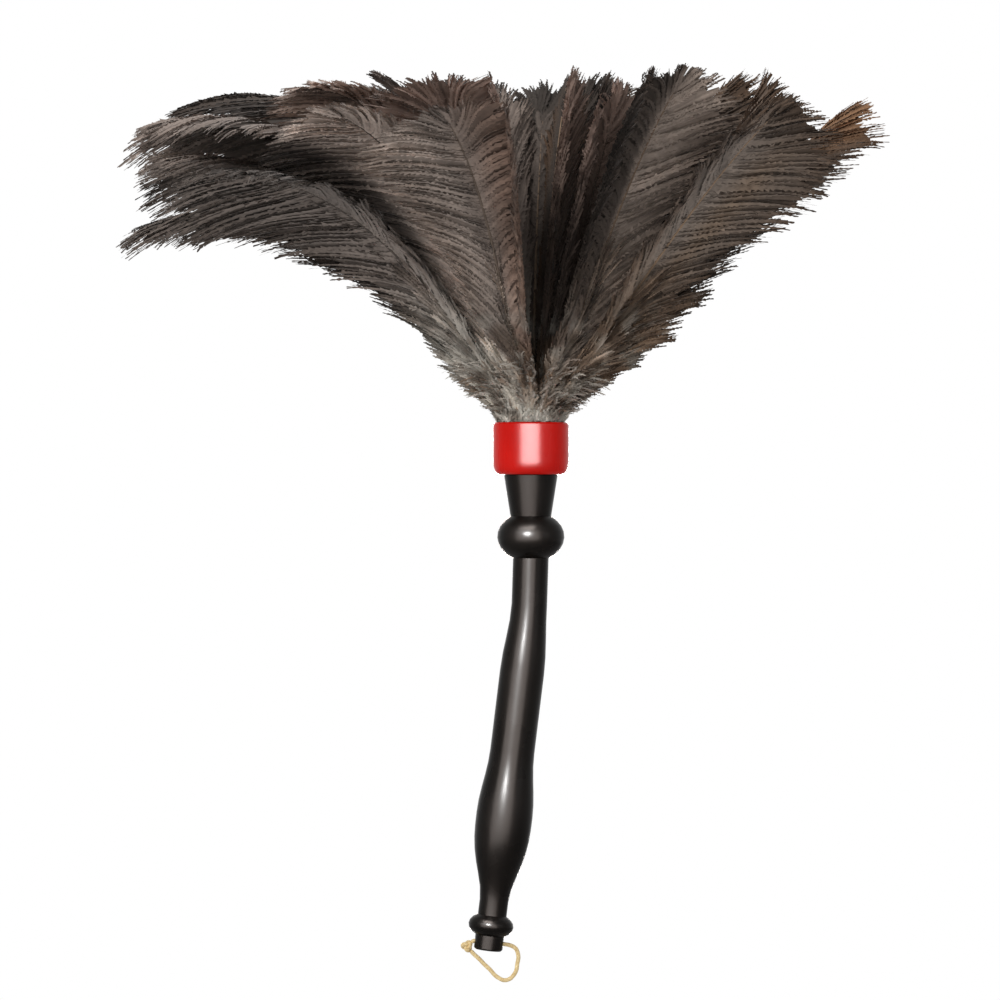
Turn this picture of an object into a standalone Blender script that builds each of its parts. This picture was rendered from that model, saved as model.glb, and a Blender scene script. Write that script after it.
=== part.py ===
"""Ostrich feather duster: a turned black handle, a red collar, and three wired rings of plumes.

Lengths are in metres. The origin is the middle of the hand grip, on the handle's axis. +Z runs along
the collar's axis towards the plume, +X is the side that the handle bows away from, -Y is the front.
"""

import math
from typing import NamedTuple

import bpy
import numpy as np
from mathutils import Matrix, Vector

MM = 0.001
CLEARANCE = 0.3 * MM

# Handle, with heights and depths measured along its axis from the middle of the grip
BALL_HEIGHT = 140 * MM
BALL_RADIUS = 16.8 * MM
BALL_HALF_HEIGHT = 12.8 * MM
NECK_RADIUS = 10.2 * MM
NECK_LENGTH = 31 * MM
NECK_TOP_RADIUS = 13.4 * MM
PLUG_RADIUS = 14.2 * MM
PLUG_LENGTH = 7 * MM
SHAFT_RADIUS = 8.9 * MM
SHAFT_FOOT_HEIGHT = 106 * MM
WAIST_RADIUS = 11.1 * MM
WAIST_TOP_HEIGHT = 72 * MM
WAIST_FOOT_HEIGHT = 32 * MM
GRIP_RADIUS = 14.1 * MM
GRIP_FULLNESS = 1.5
HEEL_RADIUS = 7.2 * MM
HEEL_DEPTH = 43 * MM
BEAD_RADIUS = 11.3 * MM
BEAD_HALF_HEIGHT = 6.6 * MM
BEAD_DEPTH = 55.5 * MM
NUB_RADIUS = 7.2 * MM
NUB_CHAMFER = 0.8 * MM
BUTT_DEPTH = 68 * MM
CROSS_HOLE_EDGE = 4 * MM
BOW_HEIGHT = 128 * MM
BOW_LENGTH = 40 * MM
BOW_ANGLE = math.radians(7)

# Core peg, in the blind bore of the handle's plug
PEG_RADIUS = 5 * MM
PEG_SOCKET_DEPTH = 26 * MM
PEG_RISE = 16 * MM

# Quills and the wire wound round each ring of them
QUILL_RADIUS = 1.3 * MM
WIRE_RADIUS = 0.4 * MM
WIRE_CLEARANCE = 0.4 * MM
WIRE_TURNS = 3
WIRE_PITCH = 1.7 * MM
WIRE_START = 5 * MM

# Collar
COLLAR_HEIGHT = 26 * MM
COLLAR_WALL = 1 * MM
COLLAR_FOOT_WALL = 1.3 * MM
COLLAR_FOOT_ROUND = 6.5 * MM
COLLAR_RIM_ROUND = 0.8 * MM

# Plume: how far an outermost feather leans at its root and curls on by its tip, in degrees, and the
# length over which it curls. The back is like the front.
LEAN = {"right": 42, "left": 37.5, "front": 25}
CURL = {"right": 1, "left": 66, "front": 35}
CURL_RUN = {"right": 222 * MM, "left": 228 * MM, "front": 200 * MM}
CURL_POWER = 1.8
INNER_CURL = 1.06
LEAN_POWER = 1.5
LEAN_RUN = 6 * MM

# The valley: a parting in the front of the plume that no feather crosses
VALLEY_AZIMUTH = math.radians(-80)
VALLEY_HALF_ANGLE = math.radians(18)
VALLEY_INNER_SHARE = 2.2
VALLEY_MARGIN = math.radians(2)
VALLEY_RUN = 60 * MM


class Ring(NamedTuple):
    """A ring of feathers, with the free length of a feather above the collar towards each side."""

    name: str
    count: int
    reach: dict


INNER_REACH = {"right": 186 * MM, "left": 202 * MM, "front": 181 * MM}
MIDDLE_REACH = {"right": 202 * MM, "left": 274 * MM, "front": 198 * MM}
OUTER_REACH = {"right": 228 * MM, "left": 238 * MM, "front": 214 * MM}
# Neighbours in a ring lie in two layers, one over the other. Layer 1 is the outermost and lowest.
RINGS = (
    Ring("inner", 8, INNER_REACH),
    Ring("middle", 12, MIDDLE_REACH),
    Ring("outer", 16, OUTER_REACH),
)
LAYERS_PER_RING = 2
LAYER_STEP = 0.156
# Feathers that stand out of their ring or stay behind it
LONGER = {
    "feather_inner_07": 12 * MM,
    "feather_middle_03": -10 * MM,
    "feather_middle_05": 4 * MM,
    "feather_middle_09": 6 * MM,
    "feather_middle_10": 15 * MM,
    "feather_outer_02": 13 * MM,
    "feather_outer_03": -12 * MM,
    "feather_outer_04": 5 * MM,
    "feather_outer_11": 32 * MM,
    "feather_outer_13": 17 * MM,
    "feather_outer_14": 8 * MM,
}

# Vanes: each is as wide as its overlap allows, and its edges droop towards the layer below
VANE_OVERLAP = 0.82
VANE_DROOP = 0.85
VANE_DROOP_POWER = 1.5
VANE_START = 9 * MM
VANE_THICKNESS = 1.2 * MM
VANE_ROOT_WIDTH = 0.25
VANE_FULL_SHARE = 0.42
VANE_ROUND_SHARE = 0.16
SCALLOP_DEPTH = 0.1
SCALLOP_WAVES = 3
RACHIS_TIP_RADIUS = 0.4 * MM
REACH_SPREAD = 0.07
FEATHER_STATIONS = 12
LAST_STATION = 0.965
# How far across the vane each corner of its section lies, from one edge round to it again
SECTION_CORNERS = (1, 0.5, 0, -0.5, -1, -0.5, 0, 0.5)

# Hang loop: a limp lace, whose route lies in the plane of X along the cross hole and Z up the nub
LACE_RADIUS = 1.1 * MM
LACE_PLAY = 0.6 * MM
KNOT_RADIUS = 2.6 * MM
KNOT_WRAPS = 3
KNOT_GROOVE_SHARE = 0.75
KNOT_PLACE = (-10.95, -3.35)
LACE_ROUTE = (
    (-8.9, -1.35), (-7.5, -0.35), (-5.4, 0), (0, 0), (5.6, 0), (10.6, -0.3), (14.0, -1.8),
    (15.4, -5), (15.5, -9), (15.1, -13), (13.1, -16.6), (9.7, -18), (6.2, -16.8), (2.5, -13.9),
    (-1.2, -11), (-5, -8.1), (-8.75, -5.25),
)
LACE_POINT_SPACING = 2.2 * MM

TURNED_STEPS = 28
COLLAR_STEPS = 32
COLLAR_FOOT_STEPS = 4
KNOT_STEPS = 12

# Sizes that follow from those above
COLLAR_BOTTOM = BALL_HEIGHT + NECK_LENGTH
QUILL_SEAT = COLLAR_BOTTOM + PLUG_LENGTH
RIM_RISE = COLLAR_HEIGHT - PLUG_LENGTH
RING_PITCH = 2 * (QUILL_RADIUS + WIRE_CLEARANCE + WIRE_RADIUS)
FIRST_RING_RADIUS = PEG_RADIUS + CLEARANCE + QUILL_RADIUS
RING_RADII = [FIRST_RING_RADIUS + ring * RING_PITCH for ring in range(len(RINGS))]
WIRE_RADII = [radius + RING_PITCH / 2 for radius in RING_RADII]
COLLAR_BORE = WIRE_RADII[-1] + WIRE_RADIUS + WIRE_CLEARANCE
COLLAR_RADIUS = COLLAR_BORE + COLLAR_WALL
PLUG_BORE = PLUG_RADIUS + CLEARANCE
CROSS_HOLE_RADIUS = LACE_RADIUS + LACE_PLAY
CROSS_HOLE_DEPTH = BUTT_DEPTH - CROSS_HOLE_EDGE


def new_material(name, colour, roughness, metallic=0.0):
    material = bpy.data.materials.new(name)
    material.use_nodes = True
    shader = material.node_tree.nodes["Principled BSDF"]
    shader.inputs["Base Color"].default_value = (*colour, 1)
    shader.inputs["Roughness"].default_value = roughness
    shader.inputs["Metallic"].default_value = metallic
    return material


def new_object(name, data, collection, material=None, parent=None):
    thing = bpy.data.objects.new(name, data)
    if material:
        data.materials.append(material)
    collection.objects.link(thing)
    thing.parent = parent
    return thing


def new_empty(name, collection, matrix):
    empty = bpy.data.objects.new(name, None)
    collection.objects.link(empty)
    empty.matrix_world = matrix
    return empty


def ease(share):
    """0 to 1 with a flat start and end."""
    share = min(max(share, 0.0), 1.0)
    return 0.5 - 0.5 * math.cos(math.pi * share)


def bow_straight(x, y, height):
    """Where the bowed handle carries a point of the straight one, before the grip is centred."""
    below = BOW_HEIGHT - height
    if below <= 0:
        return Vector((x, y, height))
    angle = BOW_ANGLE * min(below / BOW_LENGTH, 1)
    bend_radius = BOW_LENGTH / BOW_ANGLE
    beyond = max(below - BOW_LENGTH, 0)
    centre_x = -bend_radius * (1 - math.cos(angle)) - beyond * math.sin(angle)
    centre_z = BOW_HEIGHT - bend_radius * math.sin(angle) - beyond * math.cos(angle)
    return Vector((centre_x + x * math.cos(angle), y, centre_z - x * math.sin(angle)))


def bow(x, y, height):
    """Where the bowed handle carries a point of the straight one, from the middle of the grip."""
    return bow_straight(x, y, height) - bow_straight(0, 0, 0)


def turned(name, profile, steps, closed=False):
    """A mesh turned from a profile of (radius, height) points that runs down its outer side."""
    count = len(profile)
    outline = bpy.data.meshes.new(name)
    edges = [(i, i + 1) for i in range(count - 1)]
    if closed:
        edges.append((count - 1, 0))
    outline.from_pydata([(radius, 0, height) for radius, height in profile], edges, [])
    blank = bpy.data.objects.new(name, outline)
    bpy.context.scene.collection.objects.link(blank)
    screw = blank.modifiers.new("Turn", "SCREW")
    screw.steps = steps
    screw.render_steps = steps
    screw.use_merge_vertices = True
    screw.merge_threshold = 0.00001
    evaluated = blank.evaluated_get(bpy.context.evaluated_depsgraph_get())
    mesh = bpy.data.meshes.new_from_object(evaluated)
    bpy.data.objects.remove(blank)
    bpy.data.meshes.remove(outline)
    mesh.name = name
    mesh.shade_smooth()
    mesh.set_sharp_from_angle(angle=math.radians(35))
    return mesh


def bulge(centre, half_height, radius, top_radius, foot_radius, count):
    """Profile points down the outside of a ball or bead, between the radii above and below it."""
    first = math.asin(top_radius / radius)
    last = math.pi - math.asin(foot_radius / radius)
    angles = [first + (last - first) * i / (count - 1) for i in range(count)]
    return [(radius * math.sin(a), centre + half_height * math.cos(a)) for a in angles]


def taper(top, foot, count, fullness=1.0):
    """Profile points between two (radius, height) ends, without the ends."""
    points = []
    for i in range(1, count):
        share = i / count
        radius = top[0] + (foot[0] - top[0]) * ease(share**fullness)
        points.append((radius, top[1] + (foot[1] - top[1]) * share))
    return points


def handle_profile():
    socket_radius = PEG_RADIUS + CLEARANCE
    socket_foot = QUILL_SEAT - PEG_SOCKET_DEPTH
    shaft_foot = (SHAFT_RADIUS, SHAFT_FOOT_HEIGHT)
    waist_top = (WAIST_RADIUS, WAIST_TOP_HEIGHT)
    waist_foot = (WAIST_RADIUS, WAIST_FOOT_HEIGHT)
    grip = (GRIP_RADIUS, 0)
    heel = (HEEL_RADIUS, -HEEL_DEPTH)
    profile = [(0, socket_foot), (socket_radius, socket_foot), (socket_radius, QUILL_SEAT)]
    profile += [(PLUG_RADIUS, QUILL_SEAT), (PLUG_RADIUS, COLLAR_BOTTOM)]
    profile += [(NECK_TOP_RADIUS, COLLAR_BOTTOM - CLEARANCE)]
    profile += bulge(BALL_HEIGHT, BALL_HALF_HEIGHT, BALL_RADIUS, NECK_RADIUS, SHAFT_RADIUS, 9)
    profile += [shaft_foot, *taper(shaft_foot, waist_top, 4), waist_top]
    profile += [waist_foot, *taper(waist_foot, grip, 5), grip]
    profile += [*taper(grip, heel, 7, GRIP_FULLNESS), heel]
    profile += bulge(-BEAD_DEPTH, BEAD_HALF_HEIGHT, BEAD_RADIUS, HEEL_RADIUS, NUB_RADIUS, 7)
    profile += [(NUB_RADIUS, -BUTT_DEPTH + NUB_CHAMFER), (NUB_RADIUS - NUB_CHAMFER, -BUTT_DEPTH)]
    profile += [(0, -BUTT_DEPTH)]
    return profile


def add_handle(parts, cutters, material):
    """The turned stick, bowed, with the cross hole cut through its nub."""
    mesh = turned("handle", handle_profile(), TURNED_STEPS)
    for vertex in mesh.vertices:
        vertex.co = bow(*vertex.co)
    handle = new_object("handle", mesh, parts, material)
    bpy.ops.mesh.primitive_cylinder_add(vertices=16, radius=CROSS_HOLE_RADIUS, depth=4 * NUB_RADIUS)
    cutter = bpy.context.object
    cutter.name = "cross_hole_cutter"
    cutter.matrix_world = cross_hole_matrix() @ Matrix.Rotation(math.pi / 2, 4, "Y")
    for collection in list(cutter.users_collection):
        collection.objects.unlink(cutter)
    cutters.objects.link(cutter)
    cutter.hide_render = True
    cutter.display_type = "WIRE"
    drill = handle.modifiers.new("Cross hole", "BOOLEAN")
    drill.operation = "DIFFERENCE"
    drill.object = cutter


def cross_hole_matrix():
    """The cross hole's centre, with X along the hole and Z up the nub."""
    return Matrix.Translation(bow(0, 0, -CROSS_HOLE_DEPTH)) @ Matrix.Rotation(BOW_ANGLE, 4, "Y")


def add_core_peg(parts, head, material):
    foot = CLEARANCE - PEG_SOCKET_DEPTH
    profile = [(0, PEG_RISE), (PEG_RADIUS, PEG_RISE), (PEG_RADIUS, foot), (0, foot)]
    new_object("core_peg", turned("core_peg", profile, TURNED_STEPS), parts, material, head)


def add_collar(parts, head, material):
    """A cup with a wide bore for the quills above a ledge, and a narrow one for the handle's plug."""
    foot = -PLUG_LENGTH
    foot_radius = PLUG_BORE + COLLAR_FOOT_WALL
    profile = [(COLLAR_BORE, RIM_RISE), (COLLAR_RADIUS - COLLAR_RIM_ROUND, RIM_RISE)]
    profile += [(COLLAR_RADIUS, RIM_RISE - COLLAR_RIM_ROUND)]
    for step in range(COLLAR_FOOT_STEPS + 1):
        angle = math.pi / 2 * step / COLLAR_FOOT_STEPS
        out = foot_radius + (COLLAR_RADIUS - foot_radius) * math.cos(angle)
        profile.append((out, foot + COLLAR_FOOT_ROUND * (1 - math.sin(angle))))
    profile += [(PLUG_BORE, foot), (PLUG_BORE, 0), (COLLAR_BORE, 0)]
    mesh = turned("collar", profile, COLLAR_STEPS, closed=True)
    new_object("collar", mesh, parts, material, head)


def tube(name, points, radius, resolution, collection, material, parent):
    """A round tube along an open line of points."""
    curve = bpy.data.curves.new(name, "CURVE")
    curve.dimensions = "3D"
    curve.bevel_depth = radius
    curve.bevel_resolution = resolution
    curve.use_fill_caps = True
    spline = curve.splines.new("POLY")
    spline.points.add(len(points) - 1)
    for point, place in zip(spline.points, points):
        point.co = (*place, 1)
    spline.use_smooth = True
    return new_object(name, curve, collection, material, parent)


def add_binding_wires(parts, head, material):
    """One helix of wire round each ring of quills, on a circle as far inside its corners as outside."""
    points_per_turn = 16
    to_corner = 2 / (1 + math.cos(math.pi / points_per_turn))
    for ring, radius in zip(RINGS, WIRE_RADII):
        points = []
        for i in range(WIRE_TURNS * points_per_turn + 1):
            angle = 2 * math.pi * i / points_per_turn
            height = WIRE_START + WIRE_PITCH * i / points_per_turn
            corner = radius * to_corner
            points.append((corner * math.cos(angle), corner * math.sin(angle), height))
        tube(f"binding_wire_{ring.name}", points, WIRE_RADIUS, 1, parts, material, head)
    print(f"Binding wires: least gap between turns {(WIRE_PITCH - 2 * WIRE_RADIUS) / MM:.2f} mm")


def by_side(values, azimuth):
    """A value that changes smoothly round the plume between its right, left and front or back."""
    sides = (values["right"] + values["left"]) / 4
    across = (values["right"] - values["left"]) / 2
    mean = sides + values["front"] / 2
    return mean + across * math.cos(azimuth) + (sides - values["front"] / 2) * math.cos(2 * azimuth)


def parted(azimuth, layer, run):
    """The azimuth after the feathers beside the valley have been pushed away from it."""
    off = math.remainder(azimuth - VALLEY_AZIMUTH, 2 * math.pi)
    half_angle = VALLEY_HALF_ANGLE * (1 + (VALLEY_INNER_SHARE - 1) * (1 - layer))
    push = half_angle * ease(run / VALLEY_RUN) * math.tanh(abs(off) / VALLEY_MARGIN)
    return azimuth + math.copysign(push * (1 - abs(off) / math.pi), off)


def plume_point(azimuth, layer, seat_radius, run):
    """A point and its outward normal on one layer's curve in one half-plane through the axis.

    run is the length along the curve from the collar's rim, and is negative inside the collar.
    Curves of the same azimuth don't cross, because the lean grows with the layer all along them.
    """
    lean = math.radians(by_side(LEAN, azimuth)) * layer**LEAN_POWER
    curl = math.radians(by_side(CURL, azimuth)) * (INNER_CURL + (1 - INNER_CURL) * layer)
    curl_run = by_side(CURL_RUN, azimuth)
    steps = 48
    along = np.linspace(0, max(run, 0), steps + 1)
    angle = lean * (1 - np.exp(-along / LEAN_RUN)) + curl * (along / curl_run) ** CURL_POWER
    step = max(run, 0) / steps
    radius = seat_radius + step * (np.sin(angle).sum() - (math.sin(angle[0]) + math.sin(angle[-1])) / 2)
    height = RIM_RISE + min(run, 0)
    height += step * (np.cos(angle).sum() - (math.cos(angle[0]) + math.cos(angle[-1])) / 2)
    sideways = Vector((math.cos(azimuth), math.sin(azimuth), 0))
    place = sideways * radius + Vector((0, 0, height))
    normal = sideways * math.cos(angle[-1]) - Vector((0, 0, math.sin(angle[-1])))
    return place, normal


def varied(number, spread):
    """1 less a share of the spread that looks irregular from one feather to the next."""
    golden = 0.618034
    return 1 - spread * ((number * golden) % 1)


def vane_share(share, number):
    """The vane's width as a share of its widest, along the vane from 0 to 1."""
    grown = VANE_ROOT_WIDTH + (1 - VANE_ROOT_WIDTH) * ease(share / VANE_FULL_SHARE)
    to_tip = min((1 - share) / VANE_ROUND_SHARE, 1)
    rounded = math.sqrt(max(1 - (1 - to_tip) ** 2, 0))
    wave = 0.5 + 0.5 * math.cos(2 * math.pi * share * SCALLOP_WAVES + number)
    return grown * rounded * (1 - SCALLOP_DEPTH * wave)


def beside_valley(azimuth, home):
    """The azimuth of a point on a vane, held on its own feather's side of the valley."""
    off_home = math.remainder(home - VALLEY_AZIMUTH, 2 * math.pi)
    off = off_home + azimuth - home
    if off_home > 0:
        return VALLEY_AZIMUTH + max(off, VALLEY_MARGIN)
    return VALLEY_AZIMUTH + min(off, -VALLEY_MARGIN)


class Feather(NamedTuple):
    """One feather's place in the plume."""

    number: int
    azimuth: float
    layer: float
    half_angle: float
    seat_radius: float
    length: float


def feather_section(feather, run):
    """Eight points round the quill or the vane, at one run along the feather."""
    share = max(run - VANE_START, 0) / (feather.length - VANE_START)
    blend = ease((run - VANE_START) / (2 * VANE_START))
    rachis = QUILL_RADIUS + (RACHIS_TIP_RADIUS - QUILL_RADIUS) * max(run, 0) / feather.length
    width = vane_share(share, feather.number)
    home = parted(feather.azimuth, feather.layer, run)
    middle, normal = plume_point(home, feather.layer, feather.seat_radius, run)
    sideways = Vector((-math.sin(home), math.cos(home), 0))
    section = []
    for corner, across in enumerate(SECTION_CORNERS):
        turn = 2 * math.pi * corner / len(SECTION_CORNERS)
        quill = middle + rachis * (math.cos(turn) * sideways + math.sin(turn) * normal)
        azimuth = beside_valley(feather.azimuth + feather.half_angle * width * across, feather.azimuth)
        layer = feather.layer + VANE_DROOP * LAYER_STEP * abs(width * across) ** VANE_DROOP_POWER
        place = parted(azimuth, feather.layer, run)
        vane, vane_normal = plume_point(place, layer, feather.seat_radius, run)
        depth = {0: rachis, 0.5: VANE_THICKNESS / 2, 1: 0}[abs(across)]
        vane += vane_normal * math.copysign(depth, math.sin(turn))
        section.append(quill.lerp(vane, blend))
    return section


def feather_stations(length):
    """The runs of a feather's sections, from the quill's foot in the collar to the vane's tip."""
    vane = length - VANE_START
    stations = [VANE_START + vane * i / FEATHER_STATIONS for i in range(FEATHER_STATIONS)]
    ends = [VANE_START + vane * LAST_STATION, length - VANE_THICKNESS]
    return [CLEARANCE - RIM_RISE, 0, *stations, *ends]


def loft(name, rings):
    """A closed mesh of triangles through rings of points that run up one side of a blade and back.

    Both sides are split along the same diagonals, because twisted faces that are split unlike each
    other cross where the blade thins to its edge. The ends are filled from one side to the other.
    """
    count = len(rings[0])
    half = count // 2
    end = [(i, i + 1, count - i - 1) for i in range(half - 1)]
    end += [(i, count - i - 1, count - i) for i in range(1, half)]
    faces = list(end)
    for level in range(len(rings) - 1):
        low = level * count
        high = low + count
        for i in range(count):
            j = (i + 1) % count
            if i < half:
                faces += [(low + j, low + i, high + j), (low + i, high + i, high + j)]
            else:
                faces += [(low + j, low + i, high + i), (low + j, high + i, high + j)]
    top = (len(rings) - 1) * count
    faces += [(top + c, top + b, top + a) for a, b, c in end]
    mesh = bpy.data.meshes.new(name)
    mesh.from_pydata([point for ring in rings for point in ring], [], faces)
    mesh.shade_smooth()
    mesh.set_sharp_from_angle(angle=math.radians(60))
    return mesh


def all_feathers():
    """Every feather of the plume, ring by ring, with its name."""
    feathers = {}
    layer_count = LAYERS_PER_RING * len(RINGS)
    for ring_number, (ring, seat_radius) in enumerate(zip(RINGS, RING_RADII)):
        for i in range(ring.count):
            azimuth = VALLEY_AZIMUTH + 2 * math.pi * (i + 0.5) / ring.count
            below = layer_count - 1 - LAYERS_PER_RING * ring_number - i % LAYERS_PER_RING
            name = f"feather_{ring.name}_{i + 1:02d}"
            usual = by_side(ring.reach, azimuth) * varied(len(feathers), REACH_SPREAD)
            feathers[name] = Feather(
                number=len(feathers),
                azimuth=azimuth,
                layer=1 - LAYER_STEP * below,
                half_angle=VANE_OVERLAP * 2 * math.pi / ring.count,
                seat_radius=seat_radius,
                length=usual + LONGER.get(name, 0),
            )
    return feathers


def add_feathers(parts, head, materials):
    for name, feather in all_feathers().items():
        sections = [feather_section(feather, run) for run in feather_stations(feather.length)]
        new_object(name, loft(name, sections), parts, materials[name.split("_")[1]], head)


def blend_points(a, b, low, high, at):
    return a.lerp(b, (at - low) / (high - low))


def route_point(corners, share):
    """A point of the centripetal curve between the middle two of four route points."""
    times = [0.0]
    for a, b in zip(corners, corners[1:]):
        times.append(times[-1] + math.sqrt((b - a).length))
    at = times[1] + (times[2] - times[1]) * share
    sides = [blend_points(corners[k], corners[k + 1], times[k], times[k + 1], at) for k in range(3)]
    halves = [blend_points(sides[k], sides[k + 1], times[k], times[k + 2], at) for k in range(2)]
    return blend_points(halves[0], halves[1], times[1], times[2], at)


def smooth_route(route, spacing):
    """Points about one spacing apart on a smooth curve from the route's second point to its last but one."""
    points = []
    for corners in zip(route, route[1:], route[2:], route[3:]):
        count = max(1, round((corners[2] - corners[1]).length / spacing))
        points += [route_point(corners, i / count) for i in range(count)]
    return [*points, route[-2]]


def add_hang_loop(parts, pivot, material):
    """The lace from its knot through the cross hole, round below the butt and back to the knot."""
    route = [Vector((x, 0, z)) * MM for x, z in (KNOT_PLACE, *LACE_ROUTE, KNOT_PLACE)]
    tube("hang_loop", smooth_route(route, LACE_POINT_SPACING), LACE_RADIUS, 2, parts, material, pivot)


def add_loop_knot(parts, pivot, material):
    """The knot that both ends of the lace run into, as wraps side by side in a ball's outline."""
    wrap = KNOT_RADIUS / KNOT_WRAPS
    profile = []
    for i in range(KNOT_WRAPS):
        centre = KNOT_RADIUS - wrap * (2 * i + 1)
        radius = math.sqrt(KNOT_RADIUS**2 - centre**2)
        groove = KNOT_GROOVE_SHARE * radius
        profile += bulge(centre, wrap, radius, groove, groove, 4)
    profile = [(0, KNOT_RADIUS), *profile, (0, -KNOT_RADIUS)]
    knot = new_object("loop_knot", turned("loop_knot", profile, KNOT_STEPS), parts, material, pivot)
    knot.location = Vector((KNOT_PLACE[0], 0, KNOT_PLACE[1])) * MM
    knot.rotation_euler = (0, -math.pi / 2, 0)


def main():
    for thing in list(bpy.data.objects):
        bpy.data.objects.remove(thing)
    parts = bpy.data.collections.new("ostrich_feather_duster")
    cutters = bpy.data.collections.new("cutters")
    bpy.context.scene.collection.children.link(parts)
    bpy.context.scene.collection.children.link(cutters)
    lacquer = new_material("black_lacquer", (0.018, 0.015, 0.014), 0.24)
    beech = new_material("bare_beech", (0.55, 0.38, 0.22), 0.6)
    plastic = new_material("red_plastic", (0.72, 0.012, 0.006), 0.2)
    steel = new_material("binding_steel", (0.5, 0.5, 0.5), 0.35, 1.0)
    lace = new_material("tan_lace", (0.78, 0.6, 0.33), 0.75)
    plumes = {
        "inner": new_material("plume_dark", (0.045, 0.035, 0.03), 0.8),
        "middle": new_material("plume_umber", (0.1, 0.075, 0.062), 0.8),
        "outer": new_material("plume_taupe", (0.15, 0.12, 0.105), 0.8),
    }
    head = new_empty("head_axis", parts, Matrix.Translation(bow(0, 0, QUILL_SEAT)))
    pivot = new_empty("loop_pivot", parts, cross_hole_matrix())
    add_handle(parts, cutters, lacquer)
    add_core_peg(parts, head, beech)
    add_collar(parts, head, plastic)
    add_binding_wires(parts, head, steel)
    add_feathers(parts, head, plumes)
    add_hang_loop(parts, pivot, lace)
    add_loop_knot(parts, pivot, lace)


main()
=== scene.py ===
"""Ostrich feather duster, dressed: plumes of single barbs, lacquered handle, moulded collar and lace.

Lengths are in metres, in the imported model's frame. +Z runs up the collar, -Y is the front.
"""

import math
from typing import NamedTuple

import bpy
import numpy as np
from mathutils import Matrix, Vector

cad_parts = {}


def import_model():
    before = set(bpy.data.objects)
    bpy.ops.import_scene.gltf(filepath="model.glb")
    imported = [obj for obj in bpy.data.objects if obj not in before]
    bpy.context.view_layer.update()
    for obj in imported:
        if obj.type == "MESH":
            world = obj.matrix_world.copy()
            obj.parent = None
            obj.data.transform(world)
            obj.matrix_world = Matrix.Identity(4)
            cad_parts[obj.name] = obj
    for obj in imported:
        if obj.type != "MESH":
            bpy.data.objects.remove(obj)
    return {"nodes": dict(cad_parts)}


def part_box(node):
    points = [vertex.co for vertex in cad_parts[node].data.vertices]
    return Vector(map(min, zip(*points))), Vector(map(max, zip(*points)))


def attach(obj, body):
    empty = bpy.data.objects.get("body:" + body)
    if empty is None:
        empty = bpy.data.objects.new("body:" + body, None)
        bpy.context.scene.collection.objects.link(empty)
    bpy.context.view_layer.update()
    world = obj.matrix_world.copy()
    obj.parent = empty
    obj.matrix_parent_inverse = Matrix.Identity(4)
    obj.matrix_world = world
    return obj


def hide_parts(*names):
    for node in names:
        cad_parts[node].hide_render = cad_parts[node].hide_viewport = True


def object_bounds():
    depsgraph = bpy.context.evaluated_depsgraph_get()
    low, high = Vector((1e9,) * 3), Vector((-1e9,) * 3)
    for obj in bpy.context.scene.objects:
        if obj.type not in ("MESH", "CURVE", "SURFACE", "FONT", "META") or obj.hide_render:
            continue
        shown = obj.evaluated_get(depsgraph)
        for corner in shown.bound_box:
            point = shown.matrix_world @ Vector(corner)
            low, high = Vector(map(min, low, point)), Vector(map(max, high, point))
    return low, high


MM = 0.001

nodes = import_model()["nodes"]
cad_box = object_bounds()

# Camera and stage
PIXEL = 0.5 * MM
FRAME_PIXELS = 1000
CAMERA_DISTANCE = 2.5
SENSOR = 36.0
CAMERA_X = -2.25 * MM
CAMERA_Z = 157.5 * MM
FLOOR_GAP = 220 * MM
FLOOR_HALF = 1.6
FLOOR_GLOW = 0.35
AMBIENT = 0.4
WHITE = (1, 1, 1, 1)
WARM = (1, 0.88, 0.82)
COLLAR_MIDDLE = (0.013, 0, 0.19)
NECK = (0.013, 0, 0.14)

# Where between 0 and 1 a noise texture turns from one colour to the other
RAMP_ENDS = (0.35, 0.65)
NOISE_ROUGHNESS = 0.55
# The plume's fine mottling: the noise's range, and the gain that it turns into
FINE_MOTTLE = {"From Min": 0.3, "From Max": 0.7, "To Min": 0.82, "To Max": 1.18}

# Head: the collar's axis at the height where the quills stand
PLUG_LENGTH = 7 * MM
RIM_RISE = 19 * MM


class Sides(NamedTuple):
    """A value at the plume's right, at its left, and at its front and back."""

    right: float
    left: float
    front: float


# The plume's field, as in the solids: each feather follows one curve of it. Lean and curl are in degrees.
LEAN = Sides(42, 37.5, 25)
CURL = Sides(1, 66, 35)
CURL_RUN = Sides(222 * MM, 228 * MM, 200 * MM)
CURL_POWER = 1.8
INNER_CURL = 1.06
LEAN_POWER = 1.5
LEAN_RUN = 6 * MM
VALLEY_AZIMUTH = math.radians(-80)
VALLEY_HALF_ANGLE = math.radians(18)
VALLEY_INNER_SHARE = 2.2
VALLEY_MARGIN = math.radians(2)
VALLEY_RUN = 60 * MM
CURVE_STEPS = 40

LAYERS_PER_RING = 2
LAYER_STEP = 0.156
REACH_SPREAD = 0.07
VANE_OVERLAP = 0.82
VANE_DROOP = 0.85
VANE_DROOP_POWER = 1.5
VANE_DROOP_LIMIT = 1.3
VANE_ROOT_WIDTH = 0.25
VANE_FULL_SHARE = 0.42
VANE_ROUND_SHARE = 0.16
QUILL_RADIUS = 1.3 * MM
RACHIS_TIP_RADIUS = 0.24 * MM


class Ring(NamedTuple):
    """A ring of feathers: where it stands, how long they are, and how many barbs each side has."""

    name: str
    count: int
    seat: float
    reach: Sides
    barbs: int
    slot: str


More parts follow.
